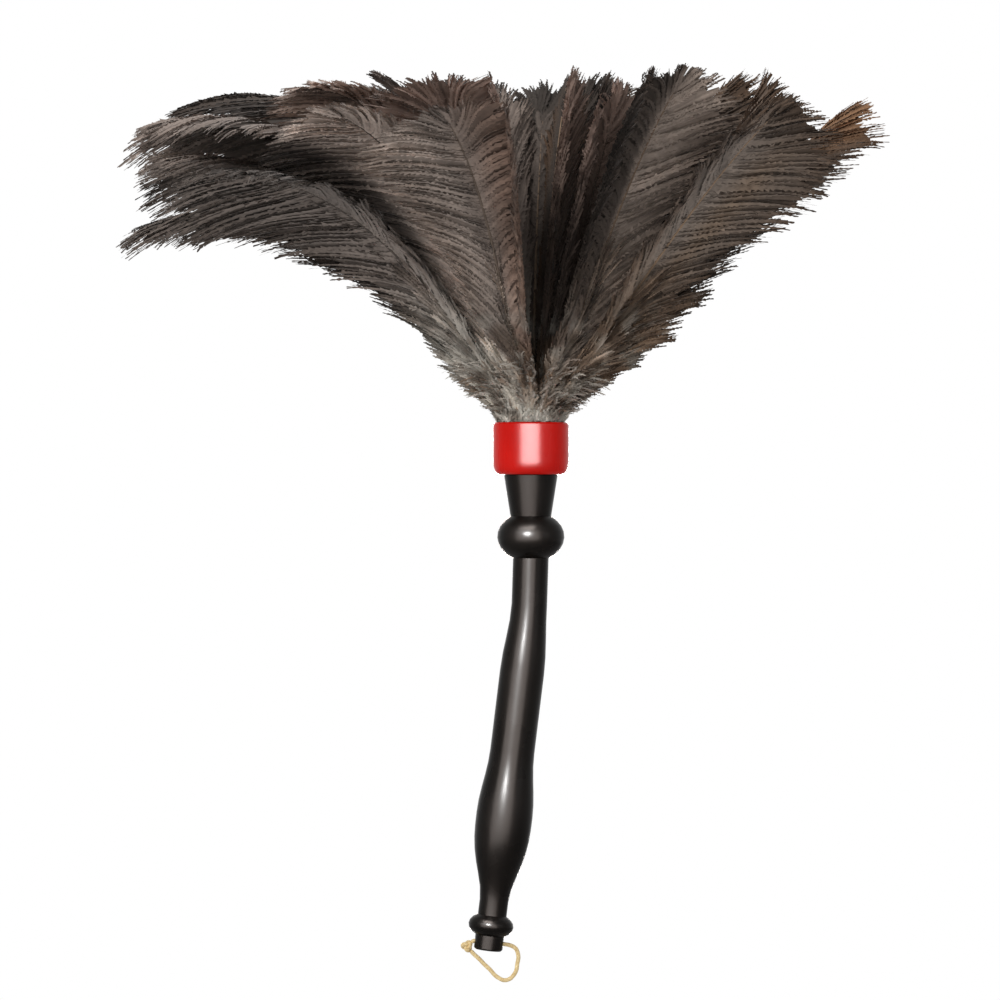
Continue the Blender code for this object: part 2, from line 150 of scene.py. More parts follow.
RINGS = (
    Ring("inner", 8, 6.6 * MM, Sides(186 * MM, 202 * MM, 181 * MM), 170, "plume_dark"),
    Ring("middle", 12, 10.8 * MM, Sides(202 * MM, 274 * MM, 198 * MM), 220, "plume_umber"),
    Ring("outer", 16, 15.0 * MM, Sides(228 * MM, 238 * MM, 214 * MM), 270, "plume_taupe"),
)


class Own(NamedTuple):
    """What one feather has beside the usual. The first three values are in millimetres.

    longer: how much its solid is. stretch: how far past its solid the barbs reach. heavy: how far its tip
    sinks. width, tone: shares of the usual width and lightness; the tone is partly painted light and shade.
    left_shade: painted shade that a neighbour casts on its left side: how deep, and from how far across and
    along. A start left of the vane's own edge takes in all of its width, and a negative depth paints light.
    """

    longer: float = 0
    stretch: float = 0
    heavy: float = 0
    width: float = 1
    tone: float = 1
    left_shade: tuple = (0, 0, 0)
    tan_band: bool = False
    copper_tip: bool = False


# Tones here are partly painted light and shade: raised on feathers that lie in shade, lowered on lit ones
OWN = {
    "inner_01": Own(tone=2.8),
    "inner_02": Own(stretch=4, tone=0.3),
    "inner_03": Own(tone=0.46),
    "inner_04": Own(tone=0.7),
    "inner_05": Own(stretch=9, tone=0.88),
    "inner_06": Own(stretch=10),
    "inner_07": Own(longer=12),
    "middle_01": Own(tone=2.1),
    "middle_03": Own(longer=-10),
    "middle_05": Own(longer=4, stretch=3, tone=0.5),
    "middle_06": Own(stretch=12, tone=0.35),
    "middle_07": Own(stretch=12, tone=0.3),
    "middle_08": Own(width=1.15),
    "middle_09": Own(longer=6, stretch=3, heavy=2, width=1.25, tone=0.42),
    "middle_10": Own(longer=15, heavy=3.5, width=1.2, tone=1.45),
    "middle_11": Own(heavy=9, tone=3.3),
    "middle_12": Own(stretch=17, tone=3.3),
    "outer_01": Own(heavy=7.5, tone=3.0, left_shade=(0.6, 0.0, 45 * MM)),
    "outer_02": Own(longer=13, heavy=9, tone=1.85, tan_band=True),
    "outer_03": Own(longer=-12, stretch=2, tone=3.0),
    "outer_04": Own(longer=5, stretch=9, heavy=11, width=0.8, tone=1.25, copper_tip=True),
    "outer_05": Own(stretch=3, tone=1.3),
    "outer_11": Own(longer=32, width=1.1, tone=0.45),
    "outer_12": Own(heavy=8, width=0.86, tone=0.48),
    "outer_13": Own(longer=17, width=1.2, tone=1.15, left_shade=(0.45, 0.42, 70 * MM)),
    "outer_14": Own(longer=8, width=1.02, tone=0.84, left_shade=(0.35, -1.5, 110 * MM)),
    "outer_15": Own(tone=2.2, left_shade=(0.75, 0.42, 70 * MM)),
    "outer_16": Own(stretch=3, tone=1.15, left_shade=(-0.45, 0.15, 50 * MM)),
}

# How far a feather's barbs reach past its solid, and how far its tip nods, beside what it has of its own
TIP_REACH = 0.5 * MM
TIP_NOD = 2 * MM
NOD_POWER = 5

# Barbs: ribbons from the rachis to the vane's edge. Pairs are the least and the most of a random value.
BARB_STATIONS = 20
ALONG_BARB = np.linspace(0, 1, BARB_STATIONS)
BARB_HALF_WIDTH = 0.6 * MM
BARB_TAPER = 0.66
BARB_ROLL = 0.5
BARB_TWIST = 0.9
BARB_SWEEP = 38 * MM
SWEEP_AT_ROOT = 0.3
SWEEP_RUN = 75 * MM
RACHIS_SHARE = 0.93
FIRST_BARB = 2 * MM
BARB_SCATTER = 0.45
BARB_REACH = (-0.045, 0.035)
BARB_BEND = (0.68, 0.84)
BARB_HURRY = (1.05, 1.25)
BARB_LIFT = 1.5 * MM
BARB_CURL = 3.2 * MM
BARB_SAG = 2.2 * MM
LIFT_SCATTER = 0.06
TONE_SCATTER = 0.06
CURL_SCATTER = 0.4
# Locks that the barbs gather into, as shares of the vane or in layers
LOCK_SIZE = 13
LOCK_SCATTER = 0.3
LOCK_PULL = 0.3
LOCK_LIFT = 0.17
LIFT_POWER = 1.4
LOCK_REACH = (-0.05, 0.035)
LOCK_TONE = 0.16
# How far the outer feathers' lowest barbs stand off, in layers, and up to which run
PUFF = 1.7
PUFF_RUN = 75 * MM
# Barbules along both edges of each barb
BARBULE_LENGTH = 1.1 * MM
BARBULE_SIZES = (0.15, 1.35)
BARBULE_TAPER = 0.75
BARBULE_TILT = 0.5
BARBULE_LEAN = 0.9

# Down: short curled barbs at the feathers' feet, and a pale band of them just over the collar's rim
DOWN_RUN = 30 * MM
DOWN_BARBS = 130
DOWN_TOP = 34 * MM
DOWN_LENGTH = (6 * MM, 14 * MM)
DOWN_CURL = 2.2 * MM
DOWN_SAG = 3 * MM
DOWN_HALF_WIDTH = 0.3 * MM
DOWN_BARBULE = 0.9 * MM
DOWN_BROWN_SHARE = 0.35
CURL_WAVE = 2.6
RIM_BARBS = 60
RIM_HEIGHT = 2.5 * MM
RIM_LENGTH = (3 * MM, 7.5 * MM)
RIM_CURL = 1.6 * MM
RIM_STAND_OFF = (0.9 * MM, 2.0 * MM)
RIM_TONES = (0.45, 1.0)

# Lower barbs, which hang out from an outer feather's quill: how far they hang at each run, in layers
SKIRT_BARBS = 150
SKIRT_SWEEP = 26 * MM
SKIRT_SPREAD = 0.35
SKIRT_RUNS = np.array((8, 14, 33, 57, 70, 85, 105)) * MM
SKIRT_RIGHT = np.array((2.1, 2.4, 2.1, 1.7, 1.6, 1.1, 1.05))
SKIRT_LEFT = np.array((2.8, 3.0, 2.3, 0.9, 0.2, 0, 0))
SKIRT_PALE_RUN = 95 * MM
# How much more their locks differ than the vane's locks do
CLUMP_CONTRAST = 2.4

# Downy ground under the barbs: rows of stations along them
GROUND_SHARES = np.linspace(0, 1, 170)
GROUND_STATIONS = np.linspace(0.02, 0.9, 8)
GROUND_RAGGED = 0.24
GROUND_RIPPLE = 0.05
GROUND_STREAKS = 0.14
RACHIS_SIDES = 8
RACHIS_STATIONS = 30

# Faces of a solid that meet at less than this are one smooth surface
CORNER_ANGLE = math.radians(35)

# Shares of the UV square's width and height
UV_WIDTH = (0.005, 0.995)
BARB_BAND = (0.0, 0.66)
RACHIS_BAND = (0.665, 0.71)
GROUND_BANDS = ((0.715, 0.805), (0.81, 0.90))
SKIRT_BAND = (0.905, 0.995)

# Painted shade: between these layers the feathers darken with their depth in the plume
DEPTH_LAYERS = (0.9, 0.3)
DEPTH_SHADE = 0.4
# Painted shade: how far round from the valley the inner feathers are as dark as it
VALLEY_SHADE_ANGLE = 0.9
VALLEY_SHADE = 0.8
# How far round from the valley the vanes beside it are tinged russet, on its left, or darkened with painted
# shade, on its right
VALLEY_EDGE_ANGLE = 0.17
VALLEY_TINGE = 0.7
# How far up the feathers beside the valley are brown
VALLEY_FOOT = 22 * MM
# Painted shade on a lower feather's edges, where its neighbours lie over them
UNDERLAP_SHADE = 0.15
# How dark the last part of each barb is
END_SHADE = 0.6
# How brown the right side's feathers are at their feet and tips
RIGHT_BROWN = 0.8
# How softly a neighbour's shade starts, across and along
EDGE_SHADE_BLUR = (0.3, 40 * MM)
# A tan band along a feather's right side: how far across it is, and how wide
TAN_BAND_ACROSS = 0.42
TAN_BAND_WIDTH = 0.16
TAN_BAND_RUN = 50 * MM
# Patches near the plume's foot, from waves of these lengths that cross at random
MOTTLE_SEED = 7
MOTTLE_WAVES = 12
MOTTLE_LENGTHS = (9 * MM, 20 * MM)
MOTTLE_LIMIT = 1.5
MOTTLE_FADE = (32 * MM, 72 * MM)
MOTTLE_PALE = 0.24
MOTTLE_BROWN = 0.45

# Linear colours
TAUPE = np.array((0.33, 0.274, 0.24))
UMBER = np.array((0.125, 0.102, 0.086))
SHADE = np.array((0.030, 0.021, 0.017))
BROWN_EDGE = np.array((0.085, 0.044, 0.021))
RUSSET = np.array((0.19, 0.105, 0.070))
COPPER = np.array((0.36, 0.195, 0.105))
DOWN_PALE = np.array((0.72, 0.68, 0.60))
FOOT_BROWN = np.array((0.27, 0.18, 0.118))
# VALLEY_TOP_LIGHT: painted light, lifting the valley's painted shade towards the feathers' tips
VALLEY_TOP_LIGHT = np.array((0.28, 0.20, 0.167))
RIB_GREY = np.array((0.10, 0.083, 0.071))
RIB_TAN = np.array((0.30, 0.205, 0.135))

# Lace, in the plane of X along the cross hole and Z up the nub. Its knot and route are in millimetres.
CROSS_HOLE_CENTRE = Vector((-7.8 * MM, 0, -63.523 * MM))
BOW_ANGLE = math.radians(7)
LACE_RADIUS = 1.1 * MM
LACE_SPACING = 0.8 * MM
LACE_SIDES = 18
LACE_STRANDS = 3
STRAND_PITCH = 7 * MM
STRAND_DEPTH = 0.16
LACE_END = 0.35
KNOT_PLACE = (-10.95, -3.35)
KNOT_SHIFT = 0.4
KNOT_TURN = math.radians(-30)
KNOT_SIZE = 0.72 * MM
KNOT_STATIONS = 72
LACE_ROUTE = (
    (-8.9, -1.35), (-7.5, -0.35), (-5.4, 0), (0, 0), (5.6, 0), (10.6, -0.3), (14.0, -1.8),
    (15.4, -5), (15.5, -9), (15.1, -13), (13.1, -16.6), (9.7, -18), (6.2, -16.8), (2.5, -13.9),
    (-1.2, -11), (-5, -8.1), (-8.75, -5.25),
)


def add_object(name, data):
    thing = bpy.data.objects.new(name, data)
    bpy.context.scene.collection.objects.link(thing)
    return thing


def add_camera():
    lens = bpy.data.cameras.new("view")
    lens.sensor_width = SENSOR
    lens.lens = SENSOR * CAMERA_DISTANCE / (PIXEL * FRAME_PIXELS)
    lens.clip_end = 20
    camera = add_object("view", lens)
    camera.location = (CAMERA_X, -CAMERA_DISTANCE, CAMERA_Z)
    camera.rotation_euler = (math.pi / 2, 0, 0)
    bpy.context.scene.camera = camera


def add_light(name, place, target, size, power, gloss_on=None, colour=(1, 1, 1)):
    """A soft rectangular lamp at a place, turned to its target, or a card that one node's gloss mirrors."""
    lamp = bpy.data.lights.new(name, "AREA")
    lamp.shape = "RECTANGLE"
    lamp.size, lamp.size_y = size
    lamp.energy = power
    lamp.color = colour
    light = add_object(name, lamp)
    light.location = place
    light.rotation_euler = (Vector(target) - Vector(place)).to_track_quat("-Z", "Y").to_euler()
    if gloss_on:
        mirrored_in = bpy.data.collections.new(f"{name}_receiver")
        mirrored_in.objects.link(nodes[gloss_on])
        light.light_linking.receiver_collection = mirrored_in
        light.visible_diffuse = False


def set_inputs(node, values):
    for name, value in values.items():
        node.inputs[name].default_value = value


def new_node(tree, kind, values):
    """A new node with values for some of its inputs."""
    node = tree.nodes.new(kind)
    set_inputs(node, values)
    return node


def link(tree, *chain):
    """Links (node, output) to (node, input) for each pair in the chain."""
    for (source, output), (target, given) in zip(chain[::2], chain[1::2]):
        tree.links.new(source.outputs[output], target.inputs[given])


def add_world():
    """Soft ambient light, and a white background for what the camera, gloss and glass see."""
    world = bpy.data.worlds.new("studio")
    bpy.context.scene.world = world
    world.use_nodes = True
    tree = world.node_tree
    tree.nodes.clear()
    path = tree.nodes.new("ShaderNodeLightPath")
    seen, seen_more = tree.nodes.new("ShaderNodeMath"), tree.nodes.new("ShaderNodeMath")
    seen.operation = seen_more.operation = "MAXIMUM"
    ambient = new_node(tree, "ShaderNodeBackground", {"Color": WHITE, "Strength": AMBIENT})
    white = new_node(tree, "ShaderNodeBackground", {"Color": WHITE})
    mix = tree.nodes.new("ShaderNodeMixShader")
    out = tree.nodes.new("ShaderNodeOutputWorld")
    link(tree, (path, "Is Camera Ray"), (seen, 0), (path, "Is Glossy Ray"), (seen, 1))
    link(tree, (seen, 0), (seen_more, 0), (path, "Is Transmission Ray"), (seen_more, 1))
    link(tree, (seen_more, 0), (mix, 0), (ambient, 0), (mix, 1), (white, 0), (mix, 2))
    link(tree, (mix, 0), (out, "Surface"))


def add_stage():
    mesh = bpy.data.meshes.new("floor")
    z = cad_box[0][2] - FLOOR_GAP
    corners = [(x * FLOOR_HALF, y * FLOOR_HALF, z) for x, y in ((-1, -1), (1, -1), (1, 1), (-1, 1))]
    mesh.from_pydata(corners, [], [(0, 1, 2, 3)])
    floor = add_object("floor", mesh)
    material, shader, tree = new_material("floor_paper", 0.9, 0)
    mesh.materials.append(material)
    ramp(tree, noise(tree, 40, 3), shader, "Base Color", (0.80,) * 3, (0.84,) * 3)
    path = tree.nodes.new("ShaderNodeLightPath")
    glow = new_node(tree, "ShaderNodeMath", {1: FLOOR_GLOW})
    glow.operation = "MULTIPLY"
    set_inputs(shader, {"Emission Color": WHITE})
    link(tree, (path, "Is Camera Ray"), (glow, 0), (glow, 0), (shader, "Emission Strength"))


def new_material(name, roughness, specular=0.5):
    material = bpy.data.materials.new(name)
    material.use_nodes = True
    tree = material.node_tree
    shader = tree.nodes["Principled BSDF"]
    set_inputs(shader, {"Roughness": roughness, "Specular IOR Level": specular})
    return material, shader, tree


def noise(tree, scale, detail, stretch=(1, 1, 1)):
    """Noise in the object's own coordinates, stretched along its axes."""
    coords = tree.nodes.new("ShaderNodeTexCoord")
    mapping = new_node(tree, "ShaderNodeMapping", {"Scale": stretch})
    values = {"Scale": scale, "Detail": detail, "Roughness": NOISE_ROUGHNESS}
    texture = new_node(tree, "ShaderNodeTexNoise", values)
    link(tree, (coords, "Object"), (mapping, "Vector"), (mapping, "Vector"), (texture, "Vector"))
    return texture


def ramp(tree, texture, shader, socket, low, high):
    """Turns a texture into a mix of two colours, or two grey levels, for one of the shader's inputs."""
    node = tree.nodes.new("ShaderNodeValToRGB")
    for element, position, value in zip(node.color_ramp.elements, RAMP_ENDS, (low, high)):
        element.position = position
        element.color = (*value, 1) if isinstance(value, tuple) else (value, value, value, 1)
    link(tree, (texture, "Fac"), (node, "Fac"), (node, "Color"), (shader, socket))


def bump(tree, shader, texture, strength, distance):
    node = new_node(tree, "ShaderNodeBump", {"Strength": strength, "Distance": distance})
    link(tree, (texture, "Fac"), (node, "Height"), (node, "Normal"), (shader, "Normal"))


def lacquer_material():
    """Gloss black over brown wood: faint grain along the stick, and a slightly uneven gloss."""
    material, shader, tree = new_material("black_lacquer", 0.28, 0.055)
    grain = noise(tree, 60, 6, (1, 1, 0.06))
    ramp(tree, grain, shader, "Base Color", (0.0015, 0.0012, 0.001), (0.006, 0.0046, 0.0038))
    ramp(tree, noise(tree, 35, 5), shader, "Roughness", 0.24, 0.33)
    bump(tree, shader, noise(tree, 420, 2), 0.12, 0.1 * MM)
    return material


def plastic_material():
    material, shader, tree = new_material("red_plastic", 0.27, 0.075)
    ramp(tree, noise(tree, 30, 3), shader, "Base Color", (0.48, 0.004, 0.0015), (0.58, 0.007, 0.0035))
    ramp(tree, noise(tree, 90, 6, (1, 1, 0.3)), shader, "Roughness", 0.23, 0.32)
    bump(tree, shader, noise(tree, 300, 2), 0.08, 0.1 * MM)
    return material


def wire_material():
    material, shader, tree = new_material("binding_steel", 0.35)
    set_inputs(shader, {"Metallic": 1.0})
    zinc = noise(tree, 500, 4)
    ramp(tree, zinc, shader, "Base Color", (0.42, 0.42, 0.43), (0.58, 0.58, 0.57))
    ramp(tree, zinc, shader, "Roughness", 0.28, 0.5)
    return material


def beech_material():
    material, shader, tree = new_material("bare_beech", 0.6)
    grain = noise(tree, 300, 5, (1, 1, 0.08))
    ramp(tree, grain, shader, "Base Color", (0.46, 0.29, 0.15), (0.62, 0.44, 0.27))
    bump(tree, shader, grain, 0.2, 0.1 * MM)
    return material


def lace_material():
    material, shader, tree = new_material("tan_lace", 0.62)
    set_inputs(shader, {"Sheen Weight": 0.15})
    fibre = noise(tree, 900, 4)
    ramp(tree, fibre, shader, "Base Color", (0.66, 0.46, 0.20), (0.86, 0.68, 0.36))
    bump(tree, shader, fibre, 0.35, 0.15 * MM)
    return material


def plume_material(name):
    """Each barb brings its own colour; fine mottling and a soft sheen come from here."""
    material, shader, tree = new_material(name, 0.7, 0.12)
    set_inputs(shader, {"Sheen Weight": 0.12, "Sheen Roughness": 0.45})
    tone = tree.nodes.new("ShaderNodeVertexColor")
    tone.layer_name = "barb_tone"
    mottle = noise(tree, 260, 4)
    gain = new_node(tree, "ShaderNodeMapRange", FINE_MOTTLE)
    product = tree.nodes.new("ShaderNodeVectorMath")
    product.operation = "SCALE"
    link(tree, (mottle, "Fac"), (gain, "Value"), (tone, "Color"), (product, 0))
    link(tree, (gain, "Result"), (product, "Scale"), (product, "Vector"), (shader, "Base Color"))
    ramp(tree, mottle, shader, "Roughness", 0.6, 0.82)
    return material


def eased(share):
    """0 to 1 with a flat start and end."""
    return 0.5 - 0.5 * np.cos(np.pi * np.clip(share, 0, 1))


def rise(value, start, end):
    """0 up to the start, 1 from the end on, and smooth between them."""
    return eased((value - start) / (end - start))


def fall(value, start, end):
    """1 up to the start, 0 from the end on, and smooth between them."""
    return 1 - rise(value, start, end)


def mixed(tone, other, share):
    """A colour, or an array of them, moved this share of the way to another."""
    return tone + (other - tone) * np.asarray(share)[..., None]


def by_side(values, azimuth):
    """A value that changes smoothly round the plume between its right, left and front or back."""
    sides = (values.right + values.left) / 4
    across = (values.right - values.left) / 2
    front = values.front / 2
    return sides + front + across * np.cos(azimuth) + (sides - front) * np.cos(2 * azimuth)


def off_valley(azimuth):
    """The angle from the valley, from -pi to pi."""
    return (azimuth - VALLEY_AZIMUTH + np.pi) % (2 * np.pi) - np.pi


def nearness(feather):
    """1 for a feather in the middle of the valley, and less the further round it stands."""
    return math.exp(-((off_valley(feather.azimuth) / VALLEY_SHADE_ANGLE) ** 2))


def leftness(feather):
    """0 on the plume's right, 1 on its left, with a soft step between them."""
    return rise(-math.cos(feather.azimuth), -0.3, 0.7)


def right_share(feather):
    """0 at the plume's far left, 1 at its far right."""
    return (1 + math.cos(feather.azimuth)) / 2


def parted(azimuth, layer, run):
    """The azimuth after the feathers beside the valley have been pushed away from it."""
    off = off_valley(azimuth)
    half_angle = VALLEY_HALF_ANGLE * (1 + (VALLEY_INNER_SHARE - 1) * (1 - layer))
    push = half_angle * eased(run / VALLEY_RUN) * np.tanh(np.abs(off) / VALLEY_MARGIN)
    return azimuth + np.copysign(push * (1 - np.abs(off) / np.pi), off)


def beside_valley(azimuth, home):
    """Azimuths held on the home feather's side of the valley."""
    off_home = off_valley(home)
    off = off_home + azimuth - home
    if off_home > 0:
        return VALLEY_AZIMUTH + np.maximum(off, VALLEY_MARGIN)
    return VALLEY_AZIMUTH + np.minimum(off, -VALLEY_MARGIN)


def plume_points(azimuth, layer, seat, run):
    """Points and outward normals on the field's curves. run counts from the collar's rim."""
    azimuth, layer, run = np.broadcast_arrays(azimuth, layer, run)
    lean = np.radians(by_side(LEAN, azimuth)) * layer**LEAN_POWER
    curl = np.radians(by_side(CURL, azimuth)) * (INNER_CURL + (1 - INNER_CURL) * layer)
    free = np.maximum(run, 0)
    along = free[..., None] * np.linspace(0, 1, CURVE_STEPS + 1)
    angle = lean[..., None] * (1 - np.exp(-along / LEAN_RUN))
    angle += curl[..., None] * (along / by_side(CURL_RUN, azimuth)[..., None]) ** CURL_POWER
    step = free / CURVE_STEPS
    out, up = np.sin(angle), np.cos(angle)
    radius = seat + step * (out.sum(-1) - (out[..., 0] + out[..., -1]) / 2)
    height = RIM_RISE + np.minimum(run, 0) + step * (up.sum(-1) - (up[..., 0] + up[..., -1]) / 2)
    east, north = np.cos(azimuth), np.sin(azimuth)
    place = np.stack((east * radius, north * radius, height), -1) + np.array(HEAD)
    normal = np.stack((east * up[..., -1], north * up[..., -1], -out[..., -1]), -1)
    return place, normal


class Feather(NamedTuple):
    """One feather's place in the plume."""

    node: str
    own: Own
    ring: Ring
    number: int
    azimuth: float
    layer: float
    half_angle: float
    length: float


def all_feathers():
    feathers = []
    layer_count = LAYERS_PER_RING * len(RINGS)
    for ring_number, ring in enumerate(RINGS):
        for i in range(ring.count):
            number = len(feathers)
            azimuth = VALLEY_AZIMUTH + 2 * math.pi * (i + 0.5) / ring.count
            below = layer_count - 1 - LAYERS_PER_RING * ring_number - i % LAYERS_PER_RING
            shorter = 1 - REACH_SPREAD * ((number * 0.618034) % 1)
            name = f"{ring.name}_{i + 1:02d}"
            own = OWN.get(name, Own())
            feathers.append(Feather(
                node=f"feather_{name}",
                own=own,
                ring=ring,
                number=number,
                azimuth=azimuth,
                layer=1 - LAYER_STEP * below,
                half_angle=VANE_OVERLAP * 2 * math.pi / ring.count,
                length=by_side(ring.reach, azimuth) * shorter + own.longer * MM,
            ))
    return feathers


def outline(share):
    """The vane's half width as a share of its widest, along the feather from 0 to 1."""
    grown = VANE_ROOT_WIDTH + (1 - VANE_ROOT_WIDTH) * eased(share / VANE_FULL_SHARE)
    to_tip = np.clip((1 - share) / VANE_ROUND_SHARE, 0, 1)
    return grown * np.sqrt(np.maximum(1 - (1 - to_tip) ** 2, 0))


def vane_points(feather, across, run, lift=0.0):
    """Points on the feather's vane: across from -1 to 1 at its widest, run along it."""
    turned = beside_valley(feather.azimuth + feather.half_angle * across, feather.azimuth)
    drop = np.minimum(np.abs(across), VANE_DROOP_LIMIT) ** VANE_DROOP_POWER
    layer = feather.layer + LAYER_STEP * (VANE_DROOP * drop + lift)
    return plume_points(parted(turned, feather.layer, run), layer, feather.ring.seat, run)


def unit(vectors):
    return vectors / np.maximum(np.linalg.norm(vectors, axis=-1, keepdims=True), 1e-12)


def feather_colours(feather):
    """Base, edge and rib colours, from the feather's place round the plume and its depth in it, with painted
    shade for that depth and near the valley.
    """
    rightness = rise(math.cos(feather.azimuth), -0.7, 0.7)
    top, bottom = DEPTH_LAYERS
    depth = np.clip((top - feather.layer) / (top - bottom), 0, 1)
    valley = nearness(feather) * min(1, 2.5 * depth)
    base = mixed(mixed(TAUPE, UMBER, rightness), SHADE * 2, DEPTH_SHADE * depth)
    # Painted shade: the inner feathers near the valley darken towards the shade colour
    base = mixed(base, SHADE, VALLEY_SHADE * valley) * feather.own.tone
    edge = mixed(base, BROWN_EDGE * (1 - 0.8 * valley), 0.25 + 0.5 * rightness)
    return base, edge, mixed(RIB_GREY, RIB_TAN, rightness**2 * (1 - valley))


def edge_line(feather):
    """The vane's edge from root to tip: how far across, how far along, and the length on the edge."""
    side = np.linspace(0.02, 1 - VANE_ROUND_SHARE, 80)
    turn = np.linspace(0, np.pi / 2, 60)[1:]
    share = np.concatenate((side, 1 - VANE_ROUND_SHARE + VANE_ROUND_SHARE * np.sin(turn)))
    across = outline(share) * feather.own.width
    run = share * (feather.length + TIP_REACH + feather.own.stretch * MM)
    place, _ = plume_points(feather.azimuth, feather.layer, feather.ring.seat, run)
    radius = np.linalg.norm(place[:, :2] - np.array(HEAD[:2]), axis=1)
    width = np.diff(across) * feather.half_angle * (radius[1:] + radius[:-1]) / 2
    return across, run, np.concatenate(([0], np.cumsum(np.hypot(width, np.diff(run)))))


def barb_ends(feather, share):
    """For barbs at shares of the vane's edge: where they end, and where on the rachis they start."""
    across, run, length = edge_line(feather)
    at = share * length[-1]
    end_across, end_run = np.interp(at, length, across), np.interp(at, length, run)
    round_start = (1 - VANE_ROUND_SHARE) * run[-1]
    length_start = np.interp(round_start, run, length)
    tip_share = np.clip((at - length_start) / (length[-1] - length_start), 0, 1)
    sweep = BARB_SWEEP * (SWEEP_AT_ROOT + (1 - SWEEP_AT_ROOT) * eased(end_run / SWEEP_RUN))
    last_root = round_start - BARB_SWEEP
    tip_root = last_root + (RACHIS_SHARE * feather.length - last_root) * tip_share
    root = np.where(end_run < round_start, end_run - sweep, tip_root)
    return end_across, end_run, np.maximum(root, FIRST_BARB)


class Locks(NamedTuple):
    """The locks that one side's barbs gather into: their middles, and what each one does to its barbs."""

    middle: np.ndarray
    lift: np.ndarray
    reach: np.ndarray
    tone: np.ndarray
    curl: np.ndarray

    def smooth(self, values, share):
        return np.interp(share, self.middle, values)

    def nearest(self, share):
        return np.abs(share[:, None] - self.middle[None]).argmin(1)


def make_locks(feather, rng):
    count = max(4, feather.ring.barbs // LOCK_SIZE)
    scatter = rng.uniform(-LOCK_SCATTER, LOCK_SCATTER, count)
    return Locks(
        middle=(np.arange(count) + 0.5 + scatter) / count,
        lift=rng.uniform(-LOCK_LIFT, LOCK_LIFT, count),
        reach=rng.uniform(*LOCK_REACH, count),
        tone=rng.normal(0, LOCK_TONE, count),
        curl=rng.uniform(-1, 1, count),
    )


def barb_path(side, ends, t, bend, hurry):
    """Across and run along barbs whose ends and roots are given, at shares t of their length."""
    end_across, end_run, root = (value[:, None] for value in ends)
    return side * end_across * t**bend, root + (end_run - root) * t**hurry


def barb_side(feather, side, locks, rng):
    """Across, run, lift, tone and curl of one side's barbs."""
    count, t = feather.ring.barbs, ALONG_BARB
    scatter = rng.uniform(-BARB_SCATTER, BARB_SCATTER, count)
    share = np.clip((np.arange(count) + 0.5 + scatter) / count, 0, 1)
    lock = locks.nearest(share)
    gathered = share + (locks.middle[lock] - share) * LOCK_PULL
    end_across, end_run, _ = barb_ends(feather, gathered)
    _, _, root = barb_ends(feather, share)
    reach = 1 + locks.reach[lock] + rng.uniform(*BARB_REACH, count)
    ends = (end_across * reach, root + (end_run - root) * reach, root)
    bend, hurry = rng.uniform(*BARB_BEND, (count, 1)), rng.uniform(*BARB_HURRY, (count, 1))
    across, run = barb_path(side, ends, t, bend, hurry)
    lift = locks.smooth(locks.lift, share)[:, None] * t**LIFT_POWER
    lift = lift + rng.uniform(-LIFT_SCATTER, LIFT_SCATTER, (count, 1)) * t**2
    if feather.ring.name == "outer":
        puff_run = PUFF_RUN * (1.3 + math.cos(feather.azimuth)) / 2.3
        puff = PUFF * rng.uniform(0, 1, count) ** 2 * np.clip(1 - root / puff_run, 0, 1)
        lift = lift + puff[:, None] * np.sqrt(t)
    tone = np.exp(locks.smooth(locks.tone, share) + rng.normal(0, TONE_SCATTER, count))
    curl = locks.smooth(locks.curl, share) + rng.uniform(-CURL_SCATTER, CURL_SCATTER, count)
    return across, run, lift, tone, curl


def nod(feather, places, run):
    """Lets the feather's last part bend down under its own weight."""
    sink = TIP_NOD + feather.own.heavy * MM
    places[..., 2] -= sink * np.clip(run / feather.length, 0, 1.1) ** NOD_POWER
    return places


def ribbon_places(spine, normal, width, barbule, rng):
    """The two edges of ribbons along their spines, and the tips of the barbules on both edges."""
    count = len(spine)
    ahead = unit(np.gradient(spine, axis=1))
    flat = unit(np.cross(ahead, normal))
    up = np.cross(flat, ahead)
    roll = rng.uniform(-BARB_ROLL, BARB_ROLL, (count, 1))
    roll = roll + rng.uniform(-BARB_TWIST, BARB_TWIST, (count, 1)) * ALONG_BARB
    side = flat * np.cos(roll)[..., None] + up * np.sin(roll)[..., None]
    half = (width * (1 - BARB_TAPER * ALONG_BARB**2))[:, None]
    edges = np.stack((spine - side * half, spine + side * half), 2)
    per_edge = (count, BARB_STATIONS - 1, 2)
    part_way = rng.uniform(0.1, 0.9, (*per_edge, 1))
    middle = edges[:, 1:] * part_way + edges[:, :-1] * (1 - part_way)
    length = barbule * rng.uniform(*BARBULE_SIZES, per_edge)
    length = length * (1 - BARBULE_TAPER * ALONG_BARB[1:] ** 4)[:, None]
    tilt = rng.uniform(-BARBULE_TILT, BARBULE_TILT, per_edge)
    outward = side[:, 1:, None] * (length * (-1, 1))[..., None]
    forward = ahead[:, 1:, None] * (BARBULE_LEAN * length)[..., None]
    tips = middle + outward + forward + up[:, 1:, None] * (length * tilt)[..., None]
    return np.concatenate((edges.reshape(count, -1, 3), tips.reshape(count, -1, 3)), 1)


